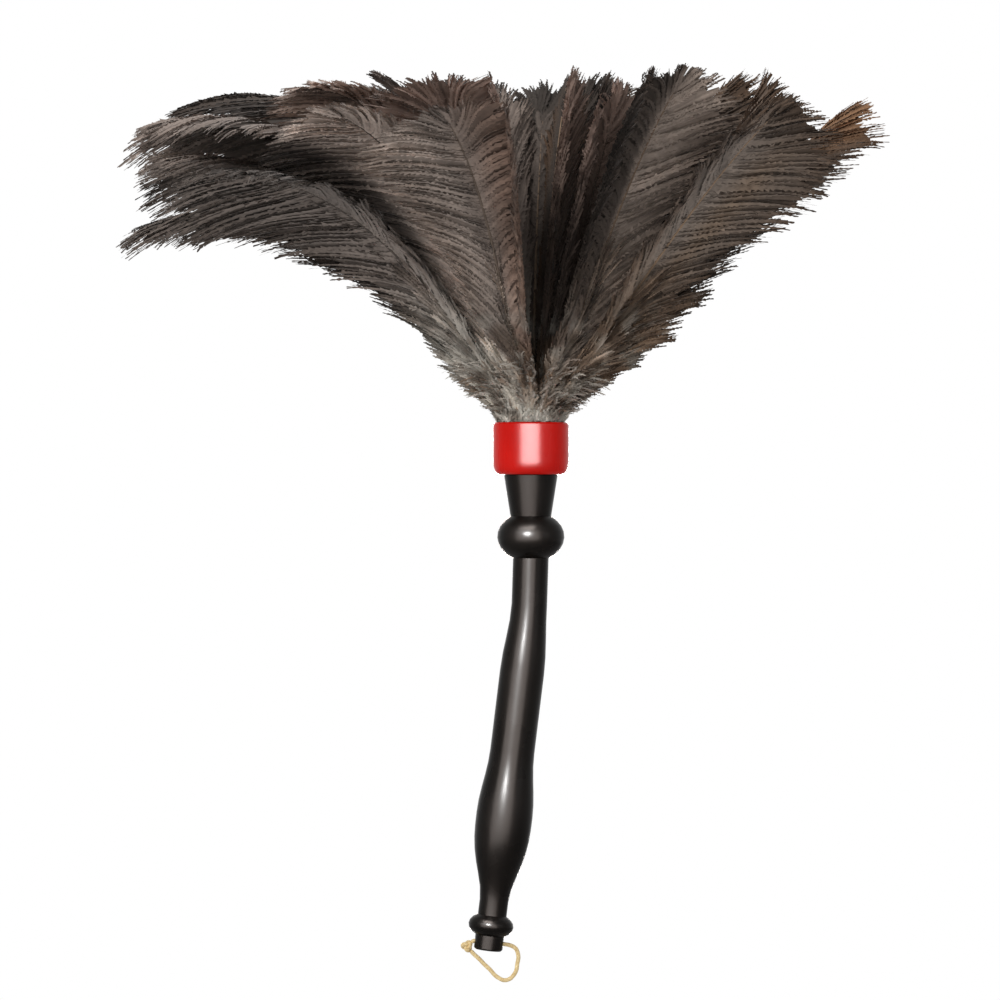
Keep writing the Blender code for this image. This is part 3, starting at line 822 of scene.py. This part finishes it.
def vane_tones(feather, across, run, t):
    """The colour at each point of a vane: base to edge, down near the root, dark ends of barbs, and painted
    shade and light from the valley and from neighbours.
    """
    base, edge, _ = feather_colours(feather)
    share, aside = run / feather.length, np.abs(across)
    valley, left = nearness(feather), leftness(feather)
    tone = mixed(base, edge, np.clip(aside, 0, 1) ** 2.4)
    # Painted shade where a neighbour's vane lies over this one's edges
    if feather.ring.name != "inner" and feather.number % LAYERS_PER_RING == 0:
        tone = tone * (1 - UNDERLAP_SHADE * rise(aside, 0.35, 0.75))[..., None]
    off = off_valley(feather.azimuth + feather.half_angle * across)
    # Painted shade on the valley's right side; a russet tinge on its left
    valley_tone = RUSSET if off_valley(feather.azimuth) < 0 else SHADE * 1.5
    tone = mixed(tone, valley_tone, VALLEY_TINGE * np.exp(-((off / VALLEY_EDGE_ANGLE) ** 2)))
    # Painted light: inner and middle feathers beside the valley lighten towards their tips, out of the
    # painted valley shade
    if feather.ring.name != "outer":
        top = VALLEY_TOP_LIGHT * math.sqrt(feather.own.tone)
        tone = mixed(tone, top, VALLEY_SHADE * valley * rise(share, 0.5, 0.9))
    # Painted shade from a neighbour on the left side, or painted light where the depth is negative
    depth, from_across, from_run = feather.own.left_shade
    wedge = eased((-across - from_across) / EDGE_SHADE_BLUR[0]) * eased((run - from_run) / EDGE_SHADE_BLUR[1])
    tone = tone * (1 - depth * wedge)[..., None]
    if feather.own.tan_band:
        band = np.exp(-(((across - TAN_BAND_ACROSS) / TAN_BAND_WIDTH) ** 2))
        tone = mixed(tone, RIB_TAN * 0.8, 0.6 * band * rise(run, 0, TAN_BAND_RUN) * fall(share, 0.72, 0.97))
    tone = mixed(tone, SHADE, np.broadcast_to(END_SHADE * rise(t, 0.84, 1), across.shape))
    if feather.ring.name == "outer":
        brown = RIGHT_BROWN * rise(math.cos(feather.azimuth), 0.2, 0.9)
        tone = mixed(tone, FOOT_BROWN, brown * fall(run, 50 * MM, 120 * MM))
        tone = mixed(tone, BROWN_EDGE, brown * rise(share, 0.78, 0.98))
    # A copper tint near the rachis towards the tip: partly the feather's colour, partly a painted highlight
    if feather.own.copper_tip:
        tone = mixed(tone, COPPER, 0.7 * rise(share, 0.7, 0.85) * fall(aside, 0.3, 0.7))
    tone = mixed(tone, FOOT_BROWN * 1.1, 0.75 * valley * fall(run, VALLEY_FOOT, 2 * VALLEY_FOOT))
    downy_run = DOWN_RUN * (0.7 + 2.7 * left**1.5)
    return mixed(tone, DOWN_PALE, fall(run, 0, downy_run) * (0.35 + 0.55 * left))


def edge_and_tip_tones(tone):
    """Colours for a ribbon's edges and barbule tips, from those along its spine."""
    tone = np.broadcast_to(tone, (len(tone), BARB_STATIONS, 3))
    tips = (tone[:, 1:] + tone[:, :-1]) / 2 * 1.1
    return np.concatenate((np.repeat(tone, 2, axis=1), np.repeat(tips, 2, axis=1)), 1)


def vane_barbs(feather, both_locks, rng):
    """Places and colours of the barbs on both sides of the feather."""
    sides = [barb_side(feather, side, locks, rng) for side, locks in zip((-1, 1), both_locks)]
    across, run, lift, gain, curl = (np.concatenate(values) for values in zip(*sides))
    one_each = (len(gain), 1)
    spine, normal = vane_points(feather, across, run, lift)
    sideways = unit(np.cross(np.gradient(spine, axis=1), normal))
    bend = curl[:, None] * BARB_CURL * np.clip(2 * ALONG_BARB - 1, 0, 1) ** 2
    spine = spine + sideways * bend[..., None]
    above = rng.uniform(0.3, 1.0, one_each) * rng.choice((-1, 1), one_each)
    spine = spine + normal * (above * BARB_LIFT * eased(ALONG_BARB * 4))[..., None]
    spine[..., 2] -= rng.uniform(0, BARB_SAG, one_each) * ALONG_BARB**3
    places = ribbon_places(nod(feather, spine, run), normal, BARB_HALF_WIDTH, BARBULE_LENGTH, rng)
    tone = vane_tones(feather, across, run, ALONG_BARB) * gain[:, None, None]
    return places, edge_and_tip_tones(tone)


def curled(spine, size, rng):
    """Spines whose last part bends off by up to this much, each its own way."""
    bend = rng.uniform(-size, size, (len(spine), 1, 3))
    return spine + bend * (np.sin(CURL_WAVE * ALONG_BARB) * ALONG_BARB)[:, None]


def down_barbs(feather, rng):
    """Short curled barbs at the foot of the feather, which hide the quills above the collar."""
    valley, left = nearness(feather), leftness(feather)
    count = DOWN_BARBS if feather.ring.name == "outer" or valley > 0.7 else DOWN_BARBS // 3
    start = (rng.uniform(0, 1, (count, 1)) ** 1.3 * (16 + 18 * max(left, valley)) - 2) * MM
    length = rng.uniform(*DOWN_LENGTH, (count, 1))
    across = rng.uniform(-1.1, 1.1, (count, 1)) * ALONG_BARB**0.8
    outward = rng.uniform(0.2, 3.4 + 1.2 * valley, (count, 1)) * (1 - 0.6 * start / DOWN_TOP)
    spine, normal = vane_points(feather, across, start + length * ALONG_BARB, outward * ALONG_BARB**0.7)
    spine = curled(spine, DOWN_CURL, rng)
    spine[..., 2] -= rng.uniform(0, DOWN_SAG, (count, 1)) * ALONG_BARB**2
    places = ribbon_places(spine, normal, DOWN_HALF_WIDTH, DOWN_BARBULE, rng)
    base, _, _ = feather_colours(feather)
    share = (rng.uniform(0.1, 0.6, (count, 1)) + 0.4 * left) * (1 - 0.4 * start / DOWN_TOP)
    share = share + (0.9 - share) * 0.5 * fall(start, 0, 9 * MM)
    brown = rng.uniform(0, 1, (count, 1, 1)) < DOWN_BROWN_SHARE
    tone = mixed(base, np.where(brown, FOOT_BROWN * 1.2, DOWN_PALE), share)
    return places, edge_and_tip_tones(tone)


def rim_down(feather, rng):
    """Short pale barbs that curl out between the quills, just above the collar's rim."""
    one_each = (RIM_BARBS, 1)
    run = rng.uniform(0, RIM_HEIGHT, one_each) + rng.uniform(*RIM_LENGTH, one_each) * ALONG_BARB
    across = rng.uniform(-0.7, 0.7, one_each) + rng.uniform(-0.8, 0.8, one_each) * ALONG_BARB
    spine, normal = vane_points(feather, across, run, rng.uniform(0.2, 2.4, one_each) * ALONG_BARB)
    spine = curled(spine, RIM_CURL, rng) + normal * rng.uniform(*RIM_STAND_OFF, (RIM_BARBS, 1, 1))
    places = ribbon_places(spine, normal, DOWN_HALF_WIDTH, DOWN_BARBULE, rng)
    return places, edge_and_tip_tones(DOWN_PALE * rng.uniform(*RIM_TONES, (RIM_BARBS, 1, 1)))


def mottled(places, tones):
    """Tones patched pale and brown, like clumps of down, near the plume's foot."""
    rng = np.random.default_rng(MOTTLE_SEED)
    heading = unit(rng.normal(0, 1, (MOTTLE_WAVES, 3)))
    waves = heading * 2 * np.pi / rng.uniform(*MOTTLE_LENGTHS, (MOTTLE_WAVES, 1))
    phase = rng.uniform(0, 2 * np.pi, MOTTLE_WAVES)
    swell = np.sin(places @ waves.T + phase).sum(-1) / math.sqrt(MOTTLE_WAVES / 2)
    height = places[..., 2] - HEAD[2] - RIM_RISE
    patch = np.clip(swell, -MOTTLE_LIMIT, MOTTLE_LIMIT) * fall(height, *MOTTLE_FADE)
    tones = mixed(tones, DOWN_PALE * 0.8, MOTTLE_PALE * np.maximum(patch, 0))
    return mixed(tones, FOOT_BROWN * 0.4, MOTTLE_BROWN * np.maximum(-patch, 0))


def grid_faces(rows, columns, flip=False):
    """Two triangles for each cell of a grid of points."""
    i, j = np.meshgrid(np.arange(rows - 1), np.arange(columns - 1), indexing="ij")
    a = (i * columns + j).ravel()
    b, c = (a + columns, a + 1) if flip else (a + 1, a + columns)
    d = a + columns + 1
    return np.concatenate((np.stack((a, b, d), 1), np.stack((a, d, c), 1)))


def sheet(place, tone, band, flip=False):
    """Places, UVs, tones and triangles of a sheet through a grid of points, in its band of the UV square."""
    rows, columns = place.shape[:2]
    u, v = np.linspace(*UV_WIDTH, rows), np.linspace(*band, columns)
    uvs = np.stack(np.broadcast_arrays(u[:, None], v), -1)
    return place.reshape(-1, 3), uvs.reshape(-1, 2), tone.reshape(-1, 3), grid_faces(rows, columns, flip)


def ragged_rows(rng):
    """The ground's rows of stations with uneven ends, and each row's own ripple and streak of tone."""
    count = len(GROUND_SHARES)
    cut = 1 - GROUND_RAGGED * rng.uniform(0, 1, (count, 1))
    ripple = rng.uniform(-GROUND_RIPPLE, GROUND_RIPPLE, (count, 1))
    streak = np.exp(rng.normal(0, GROUND_STREAKS, (count, 1, 1)))
    return GROUND_STATIONS * cut, ripple, streak


def ground(feather, both_locks, rng):
    """The downy ground of both vanes: sheets that follow the barbs' routes and their locks."""
    share = GROUND_SHARES
    bend, hurry = np.mean(BARB_BEND), np.mean(BARB_HURRY)
    sheets = []
    for side, locks, band in zip((-1, 1), both_locks, GROUND_BANDS):
        rows, ripple, streak = ragged_rows(rng)
        across, run = barb_path(side, barb_ends(feather, share), rows, bend, hurry)
        across = across * (1 + locks.smooth(locks.reach, share)[:, None])
        lift = locks.smooth(locks.lift, share)[:, None] * rows**LIFT_POWER + ripple * rows
        place, _ = vane_points(feather, across, run, lift)
        # Painted shade: the ground is darker than the barbs over it
        tone = vane_tones(feather, across, run, rows * 0.9) * 0.7 * streak
        tone = tone * np.exp(locks.smooth(locks.tone, share))[:, None, None]
        sheets.append(sheet(nod(feather, place, run), tone, band, flip=side < 0))
    return sheets


def sideness(feather):
    """0 at the plume's front and back, 1 at its sides."""
    return abs(math.cos(feather.azimuth)) ** 0.5


def skirt_route(feather, end, t):
    """Run and lift along lower barbs that end at these runs."""
    hang = np.interp(end, SKIRT_RUNS, SKIRT_LEFT + (SKIRT_RIGHT - SKIRT_LEFT) * right_share(feather))
    root = np.maximum(end - SKIRT_SWEEP * (0.4 + 0.6 * eased(end / SWEEP_RUN)), 1 * MM)
    return root + (end - root) * t**1.2, sideness(feather) * hang * t**0.75


def skirt_tones(feather, run, t):
    """Pale down on the left side and tan-brown on the right, dark towards the barbs' ends."""
    right = right_share(feather)
    base, _, _ = feather_colours(feather)
    tone = mixed(base, FOOT_BROWN, RIGHT_BROWN * right)
    tone = mixed(tone, DOWN_PALE * 0.9, (1 - right) * fall(run, 0, SKIRT_PALE_RUN))
    return mixed(tone, SHADE, rise(t, 0.55, 1) * (0.12 + 0.73 * right))


def skirt_barbs(feather, locks, rng):
    """Lower barbs, which hang out from an outer feather's quill and fill the plume's foot."""
    count = round(SKIRT_BARBS * sideness(feather))
    end = rng.uniform(SKIRT_RUNS[0], SKIRT_RUNS[-1], (count, 1))
    run, lift = skirt_route(feather, end, ALONG_BARB)
    share = (end - SKIRT_RUNS[0]) / np.ptp(SKIRT_RUNS)
    lock = 1 + 2 * locks.smooth(locks.reach, share) + rng.uniform(-0.15, 0.06, (count, 1))
    across = rng.uniform(-SKIRT_SPREAD, SKIRT_SPREAD, (count, 1)) * ALONG_BARB
    spine, _ = vane_points(feather, across, run, lift * lock)
    facing = np.broadcast_to((-math.sin(feather.azimuth), math.cos(feather.azimuth), 0.0), spine.shape)
    places = ribbon_places(spine, facing, BARB_HALF_WIDTH, BARBULE_LENGTH, rng)
    clump = CLUMP_CONTRAST * locks.smooth(locks.tone, share)[:, :, None]
    tone = skirt_tones(feather, run, ALONG_BARB) * np.exp(clump + rng.normal(0, 0.14, (count, 1, 1)))
    return places, edge_and_tip_tones(tone)


def skirt_ground(feather, locks, rng):
    """The downy ground of the lower barbs, in the plane of the feather's own curve."""
    end = SKIRT_RUNS[0] + np.ptp(SKIRT_RUNS) * GROUND_SHARES[:, None]
    rows, ripple, streak = ragged_rows(rng)
    run, lift = skirt_route(feather, end, rows)
    lift = lift * (1 + 2 * locks.smooth(locks.reach, GROUND_SHARES)[:, None])
    place, _ = vane_points(feather, ripple * rows, run, lift)
    clump = np.exp(CLUMP_CONTRAST * locks.smooth(locks.tone, GROUND_SHARES))[:, None, None]
    tone = skirt_tones(feather, run, GROUND_STATIONS) * 0.8 * streak * clump
    return sheet(place, tone, SKIRT_BAND, flip=False)


def barb_uvs(count):
    """A thin row of the barbs' band in the UV square for each barb."""
    u = ALONG_BARB * 0.96 + UV_WIDTH[0]
    middle = np.arange(count)[:, None, None] + 0.5
    height = BARB_BAND[1] / count
    uvs = []
    for along, half in ((u, 0.16), (u[:-1] + (u[1] - u[0]) * 0.9, 0.46)):
        pair = np.broadcast_arrays(along[:, None], (middle + np.array((-half, half))) * height)
        uvs.append(np.stack(pair, -1).reshape(count, -1, 2))
    return np.concatenate(uvs, 1).reshape(-1, 2)


def barb_triangles(count):
    """Vertex indices of every barb's strip and of the barbules along both its edges."""
    left = 2 * np.arange(BARB_STATIONS - 1)
    right, tip = left + 1, left + 2 * BARB_STATIONS
    one = np.concatenate([np.stack(corners, 1) for corners in (
        (left, right, right + 2), (left, right + 2, left + 2),
        (left, left + 2, tip), (right, tip + 1, right + 2),
    )])
    per_barb = 4 * BARB_STATIONS - 2
    return (one[None] + (np.arange(count) * per_barb)[:, None, None]).reshape(-1, 3)


def tube(line, normal, radius, sides):
    """A grid of points in rings round a line. The radius has a row for each point of the line."""
    ahead = unit(np.gradient(line, axis=0))
    side = unit(np.cross(ahead, normal))
    up = np.cross(side, ahead)
    turn = np.linspace(0, 2 * np.pi, sides + 1)[:, None]
    ring = side[:, None] * np.cos(turn) + up[:, None] * np.sin(turn)
    return line[:, None] + ring * radius[..., None]


def rachis(feather):
    """The quill and rachis: a tapered tube from inside the collar almost to the feather's tip."""
    run = np.linspace(-RIM_RISE + 0.3 * MM, feather.length * (RACHIS_SHARE + 0.02), RACHIS_STATIONS)
    middle, normal = vane_points(feather, np.zeros_like(run), run)
    share = np.clip(run / feather.length, 0, 1)
    radius = QUILL_RADIUS + (RACHIS_TIP_RADIUS - QUILL_RADIUS) * share**0.8
    _, _, rib = feather_colours(feather)
    tone = mixed(rib, DOWN_PALE * 0.6, np.clip(1 - share * 5, 0, 1))
    place = tube(nod(feather, middle, run), normal, radius[:, None], RACHIS_SIDES)
    return sheet(place, np.repeat(tone, RACHIS_SIDES + 1, axis=0), RACHIS_BAND)


def mesh_object(name, places, faces, uvs=None, tones=None):
    """An object from arrays of places and triangles, with one UV and colour for each vertex."""
    mesh = bpy.data.meshes.new(name)
    mesh.vertices.add(len(places))
    mesh.vertices.foreach_set("co", places.astype(np.float32).ravel())
    mesh.loops.add(3 * len(faces))
    mesh.loops.foreach_set("vertex_index", faces.astype(np.int32).ravel())
    mesh.polygons.add(len(faces))
    mesh.polygons.foreach_set("loop_start", np.arange(len(faces), dtype=np.int32) * 3)
    mesh.update(calc_edges=True)
    mesh.shade_smooth()
    if uvs is not None:
        layer = mesh.uv_layers.new(name="OFBake")
        layer.data.foreach_set("uv", uvs[faces.ravel()].astype(np.float32).ravel())
    if tones is not None:
        colour = mesh.color_attributes.new("barb_tone", "FLOAT_COLOR", "POINT")
        rgba = np.concatenate((tones, np.ones((len(tones), 1))), 1)
        colour.data.foreach_set("color", rgba.astype(np.float32).ravel())
    return add_object(name, mesh)


def add_plumes(materials):
    for feather in all_feathers():
        rng = np.random.default_rng(100 + feather.number)
        both_locks = [make_locks(feather, rng) for _ in range(2)]
        barbs = [vane_barbs(feather, both_locks, rng), down_barbs(feather, rng)]
        sheets = ground(feather, both_locks, rng)
        if feather.ring.name == "outer":
            barbs += [skirt_barbs(feather, both_locks[0], rng), rim_down(feather, rng)]
            sheets.append(skirt_ground(feather, both_locks[0], rng))
        places, tones = (np.concatenate(values) for values in zip(*barbs))
        count = len(places)
        ribbons = (places.reshape(-1, 3), barb_uvs(count), tones.reshape(-1, 3), barb_triangles(count))
        parts = [ribbons, *sheets, rachis(feather)]
        first = np.cumsum([0] + [len(part[0]) for part in parts[:-1]])
        places, uvs, tones = (np.concatenate([part[i] for part in parts]) for i in range(3))
        faces = np.concatenate([part[3] + start for part, start in zip(parts, first)])
        name = feather.node.replace("feather", "plume")
        plume = mesh_object(name, places, faces, uvs, mottled(places, tones))
        plume.data.materials.append(materials[feather.ring.slot])
        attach(plume, "duster")
        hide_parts(feather.node)


def route_point(corners, share):
    """A point of the centripetal curve between the middle two of four route points."""
    times = [0.0]
    for a, b in zip(corners, corners[1:]):
        times.append(times[-1] + math.sqrt((b - a).length))
    at = times[1] + (times[2] - times[1]) * share
    points = list(corners)
    for span in (1, 2, 3):
        low = 1 if span == 3 else 0
        points = [
            points[k].lerp(points[k + 1], (at - times[k + low]) / (times[k + span - low] - times[k + low]))
            for k in range(len(points) - 1)
        ]
    return points[0]


def smooth_route(route, spacing):
    """Points about one spacing apart on a smooth curve from the route's second point to its last but one."""
    points = []
    for corners in zip(route, route[1:], route[2:], route[3:]):
        count = max(1, round((corners[2] - corners[1]).length / spacing))
        points += [route_point(corners, i / count) for i in range(count)]
    return [*points, route[-2]]


def twisted_tube(name, path):
    """A round lace laid up from strands: a tube whose section has shallow lobes that turn along it."""
    line = np.array([tuple(p) for p in path])
    along = np.concatenate(([0], np.cumsum(np.linalg.norm(np.diff(line, axis=0), axis=1))))
    twist = 2 * np.pi * along[:, None] / (STRAND_PITCH * LACE_STRANDS)
    wave = np.abs(np.cos(LACE_STRANDS / 2 * (np.linspace(0, 2 * np.pi, LACE_SIDES + 1) - twist)))
    radius = LACE_RADIUS * (1 - STRAND_DEPTH + STRAND_DEPTH * wave)
    radius[[0, -1]] *= LACE_END
    place = tube(line, (0.0, 1.0, 0.0), radius, LACE_SIDES)
    return mesh_object(name, place.reshape(-1, 3), grid_faces(*place.shape[:2]))


def add_lace(material):
    """The lace through the cross hole, and the overhand knot that its two ends run into."""
    plane = Matrix.Translation(CROSS_HOLE_CENTRE) @ Matrix.Rotation(BOW_ANGLE, 4, "Y")
    route = [Vector((x, 0, z)) * MM for x, z in (KNOT_PLACE, *LACE_ROUTE, KNOT_PLACE)]
    path = [plane @ p for p in smooth_route(route, LACE_SPACING)]
    lace = twisted_tube("lace", path)
    turns = np.linspace(0, 2 * np.pi, KNOT_STATIONS + 1)[:-1]
    trefoil = KNOT_SIZE * np.stack((
        np.sin(turns) + 2 * np.sin(2 * turns),
        -1.3 * np.sin(3 * turns),
        np.cos(turns) - 2 * np.cos(2 * turns),
    ), 1)
    centre = Vector((KNOT_PLACE[0] + KNOT_SHIFT, 0, KNOT_PLACE[1])) * MM
    lobes = Matrix.Rotation(KNOT_TURN, 3, "Y")
    knot = twisted_tube("lace_knot", [plane @ (centre + lobes @ Vector(p)) for p in (*trefoil, trefoil[0])])
    for piece, node in ((lace, "hang_loop"), (knot, "loop_knot")):
        piece.data.materials.append(material)
        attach(piece, "hanger")
        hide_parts(node)


def smooth_group():
    """Nodes that weld a solid's triangles and smooth them, except where they meet at a real corner."""
    tree = bpy.data.node_groups.new("smooth_faces", "GeometryNodeTree")
    tree.interface.new_socket("Geometry", in_out="INPUT", socket_type="NodeSocketGeometry")
    tree.interface.new_socket("Geometry", in_out="OUTPUT", socket_type="NodeSocketGeometry")
    given = tree.nodes.new("NodeGroupInput")
    weld = new_node(tree, "GeometryNodeMergeByDistance", {"Distance": 0.01 * MM})
    bare = new_node(tree, "GeometryNodeRemoveAttribute", {"Name": "custom_normal"})
    soft = tree.nodes.new("GeometryNodeSetShadeSmooth")
    angle = tree.nodes.new("GeometryNodeInputMeshEdgeAngle")
    corner = new_node(tree, "ShaderNodeMath", {1: CORNER_ANGLE})
    corner.operation = "GREATER_THAN"
    sharp = new_node(tree, "GeometryNodeSetShadeSmooth", {"Shade Smooth": False})
    sharp.domain = "EDGE"
    out = tree.nodes.new("NodeGroupOutput")
    steps = (given, weld, bare, soft, sharp, out)
    for before, after in zip(steps, steps[1:]):
        link(tree, (before, 0), (after, 0))
    link(tree, (angle, "Unsigned Angle"), (corner, 0), (corner, 0), (sharp, "Selection"))
    return tree


def dress_nodes(dressing):
    """Gives each CAD node that stays its material, smooth where its faces meet at a shallow angle."""
    for name, material in dressing.items():
        node = nodes[name]
        node.data.materials.clear()
        node.data.materials.append(material)
        node.modifiers.new("smooth", "NODES").node_group = smooth_faces


collar_low, collar_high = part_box("collar")
HEAD = ((collar_low.x + collar_high.x) / 2, (collar_low.y + collar_high.y) / 2, collar_low.z + PLUG_LENGTH)
smooth_faces = smooth_group()

bpy.context.scene.view_settings.view_transform = "Standard"
add_camera()
add_lace(lace_material())
add_world()
add_stage()
add_light("key", (-1.2, -1.5, 1.2), (0, 0, 0.2), (0.9, 0.9), 30)
add_light("fill", (1.5, -1.1, 0.5), (0, 0, 0.2), (0.8, 1.0), 5)
add_light("collar_card", (-0.05, -1.2, 0.2), COLLAR_MIDDLE, (1.2, 0.6), 250, gloss_on="collar")
add_light("ball_card", (-0.25, -1.2, 0.5), NECK, (0.14, 0.14), 300, gloss_on="handle")
add_light("handle_card", (-0.22, -1.1, 0.1), (0, 0, 0.08), (1.9, 1.8), 250, gloss_on="handle", colour=WARM)
add_light("top_card", (-0.2, -0.7, 1.1), NECK, (0.9, 0.5), 110, gloss_on="handle", colour=WARM)
add_light("handle_back_card", (0.0, 1.1, 0.1), (0, 0, 0.08), (0.25, 1.8), 35, gloss_on="handle", colour=WARM)
add_light("collar_back_card", (0.0, 1.2, 0.2), COLLAR_MIDDLE, (0.35, 0.6), 25, gloss_on="collar")
dress_nodes({
    "handle": lacquer_material(),
    "core_peg": beech_material(),
    "collar": plastic_material(),
})
steel = wire_material()
dress_nodes({f"binding_wire_{ring.name}": steel for ring in RINGS})
add_plumes({ring.slot: plume_material(ring.slot) for ring in RINGS})
